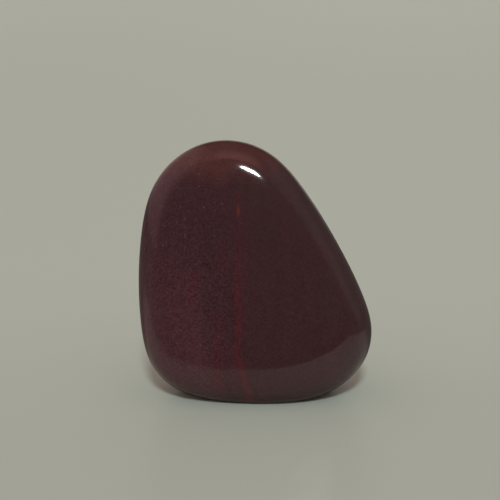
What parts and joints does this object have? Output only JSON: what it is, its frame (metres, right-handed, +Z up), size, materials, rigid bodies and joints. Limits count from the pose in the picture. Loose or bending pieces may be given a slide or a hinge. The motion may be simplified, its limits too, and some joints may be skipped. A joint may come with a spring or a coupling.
{
  "type": "polished mookaite tumbled stone",
  "caption": "Tumbled and polished mookaite jasper pebble, a rounded wedge of dark burgundy stone that stands on a worn flat foot.",
  "frame": {"origin": "on the ground under the middle of the stone", "axes": "+Z up, +X to the right as the front is seen, the broad front face looks along -Y"},
  "size_m": [0.0328, 0.015, 0.036],
  "materials": {
    "burgundy_jasper": "polished"
  },
  "bodies": {
    "root": {"stone": "burgundy_jasper"}
  },
  "joints": []
}
